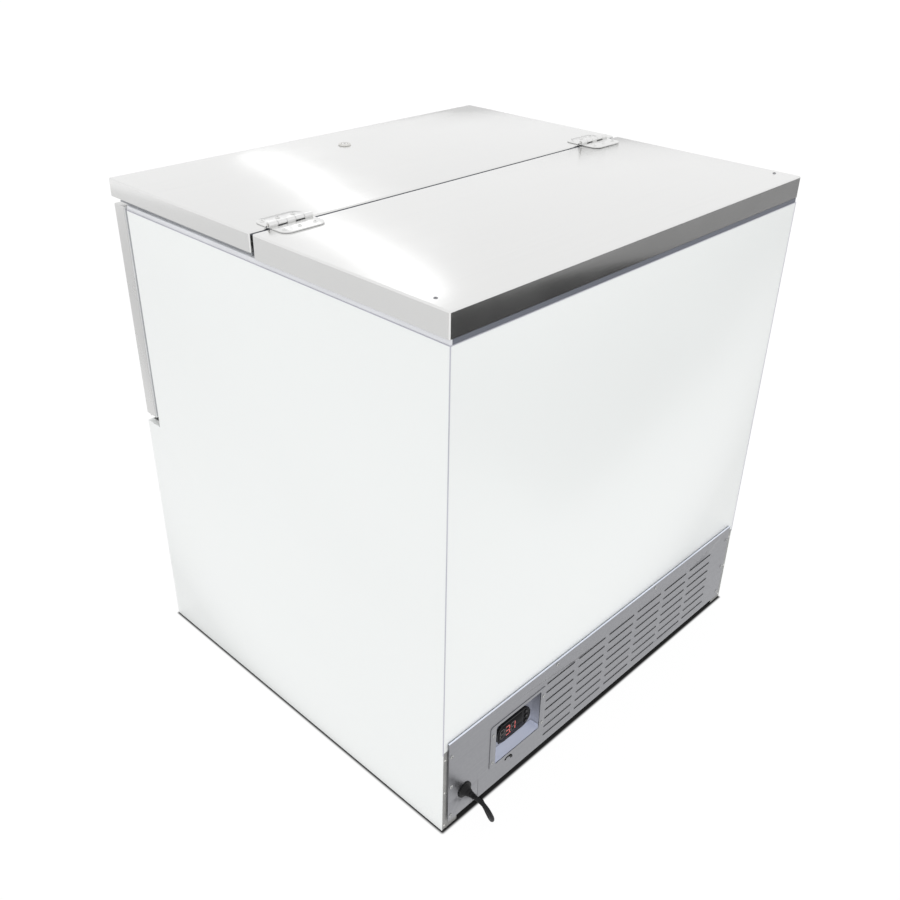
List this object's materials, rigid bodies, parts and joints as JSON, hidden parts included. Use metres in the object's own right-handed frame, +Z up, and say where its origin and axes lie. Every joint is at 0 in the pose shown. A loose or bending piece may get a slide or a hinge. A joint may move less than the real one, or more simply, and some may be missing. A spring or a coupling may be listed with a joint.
{
  "type": "drop-front chest cooler",
  "caption": "Chest cooler with a split steel lid, a drop-down front door, a rear service grille with a digital thermostat, and a mains cord.",
  "frame": {"origin": "on the floor, under the middle of the machine without its cord", "axes": "+Z up, -Y towards the drop-front door, +Y towards the service grille and cord, +X the right side seen from the front"},
  "size_m": [0.873, 0.9841, 0.9347],
  "materials": {
    "white_steel": "satin",
    "brushed_steel": "satin",
    "grille_steel": "satin",
    "galvanised": "satin",
    "rim_plastic": "satin",
    "liner_plastic": "satin",
    "foam": "matte",
    "gasket": "matte",
    "black_plastic": "satin",
    "bezel_plastic": "satin",
    "black_rubber": "matte",
    "black_enamel": "satin",
    "copper": "satin",
    "zinc": "satin"
  },
  "bodies": {
    "cabinet": {"side_panel_left": "white_steel", "side_panel_right": "white_steel", "rear_panel": "white_steel", "front_lower_panel": "white_steel", "base_pan": "galvanised", "rear_post_left": "galvanised", "rear_post_right": "galvanised", "foot_front_left": "black_rubber", "foot_front_right": "black_rubber", "foot_rear_left": "black_rubber", "foot_rear_right": "black_rubber", "storage_tank": "brushed_steel", "cabinet_foam": "foam", "front_frame": "liner_plastic", "top_rim": "rim_plastic", "cross_rail": "brushed_steel", "grille_panel": "grille_steel", "cord_cover": "grille_steel", "controller_bezel": "bezel_plastic", "controller_case": "black_plastic", "strain_relief": "black_rubber", "power_cord": "black_rubber", "cord_coil": "black_rubber", "plug": "black_rubber", "compressor": "black_enamel", "compressor_bracket": "galvanised", "condenser_coil": "copper", "fan_shroud": "galvanised", "fan_motor": "black_enamel", "evaporator_tube": "copper", "drain_pipe": "liner_plastic", "drain_plug": "black_rubber", "rear_lid_shell": "brushed_steel", "rear_lid_foam": "foam", "rear_lid_liner": "liner_plastic", "lid_hinge_right_rear_leaf": "brushed_steel", "lid_hinge_right_pin": "zinc", "lid_hinge_left_rear_leaf": "brushed_steel", "lid_hinge_left_pin": "zinc", "door_hinge_lower_leaf": "brushed_steel", "door_hinge_pin": "zinc"},
    "front_lid": {"front_lid_shell": "brushed_steel", "front_lid_foam": "foam", "front_lid_liner": "liner_plastic", "front_lid_gasket": "gasket", "lock_barrel": "zinc", "lid_hinge_right_front_leaf": "brushed_steel", "lid_hinge_left_front_leaf": "brushed_steel"},
    "lock": {"lock_plug": "brushed_steel", "lock_cam": "zinc"},
    "drop_door": {"door_shell": "brushed_steel", "door_foam": "foam", "door_liner": "liner_plastic", "door_gasket": "gasket", "door_hinge_upper_leaf": "brushed_steel", "lock_strike": "zinc"},
    "fan": {"fan_blade": "black_plastic"},
    "up_key": {"key_up": "black_rubber"},
    "set_key": {"key_set": "black_rubber"},
    "down_key": {"key_down": "black_rubber"}
  },
  "joints": [
    {"name": "front_lid_hinge", "type": "hinge", "parent": "cabinet", "child": "front_lid", "pos_m": [0, 0, 0.9305], "axis": [-1, 0, 0], "range_deg": [0, 178]},
    {"name": "drop_door_hinge", "type": "hinge", "parent": "cabinet", "child": "drop_door", "pos_m": [0, -0.395, 0.478], "axis": [1, 0, 0], "range_deg": [0, 175]},
    {"name": "lid_lock_turn", "type": "hinge", "parent": "front_lid", "child": "lock", "pos_m": [0.004, -0.3, 0.9], "axis": [0, 0, -1], "range_deg": [0, 90]},
    {"name": "fan_spin", "type": "hinge", "parent": "cabinet", "child": "fan", "pos_m": [0.03, 0.3, 0.11], "axis": [0, 1, 0], "continuous": true},
    {"name": "key_up_press", "type": "slide", "parent": "cabinet", "child": "up_key", "axis": [0, -1, 0], "range_m": [0, 0.0006], "stiffness_N_per_m": 300},
    {"name": "key_set_press", "type": "slide", "parent": "cabinet", "child": "set_key", "axis": [0, -1, 0], "range_m": [0, 0.0006], "stiffness_N_per_m": 300},
    {"name": "key_down_press", "type": "slide", "parent": "cabinet", "child": "down_key", "axis": [0, -1, 0], "range_m": [0, 0.0006], "stiffness_N_per_m": 300}
  ]
}
